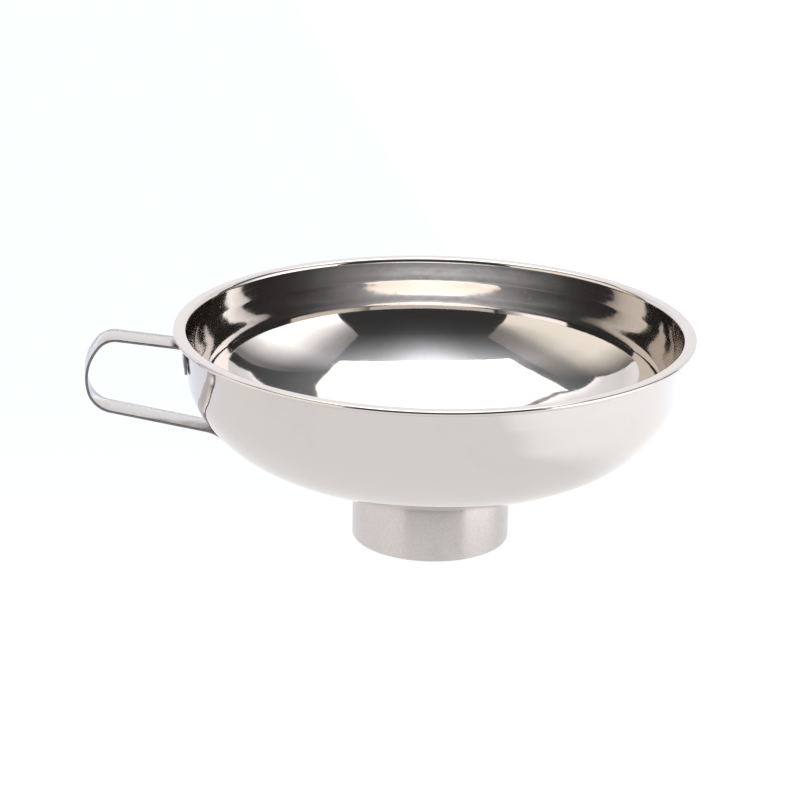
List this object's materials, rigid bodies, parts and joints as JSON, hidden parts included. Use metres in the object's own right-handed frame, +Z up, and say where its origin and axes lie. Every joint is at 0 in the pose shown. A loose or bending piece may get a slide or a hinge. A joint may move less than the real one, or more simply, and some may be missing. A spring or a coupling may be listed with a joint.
{
  "type": "canning funnel",
  "caption": "Wide-mouth canning funnel: deep round bowl with a folded rim, short straight spout and a flat strap loop handle.",
  "frame": {"origin": "centre of the spout's bottom edge, the ring that the funnel stands on", "axes": "+Z up along the axis of bowl and spout; the handle points along -X"},
  "size_m": [0.175, 0.15, 0.064],
  "materials": {
    "mirror_steel": "mirror-polished stainless sheet",
    "satin_steel": "satin stainless tube with fine turning lines",
    "strap_steel": "bright rolled stainless strip, cut edges darker",
    "weld_steel": "dressed weld metal"
  },
  "bodies": {
    "root": {"bowl": "mirror_steel", "spout": "satin_steel", "spout_ring_weld": "weld_steel", "handle": "strap_steel", "upper_spot_welds": "weld_steel", "lower_spot_welds": "weld_steel"}
  },
  "joints": []
}
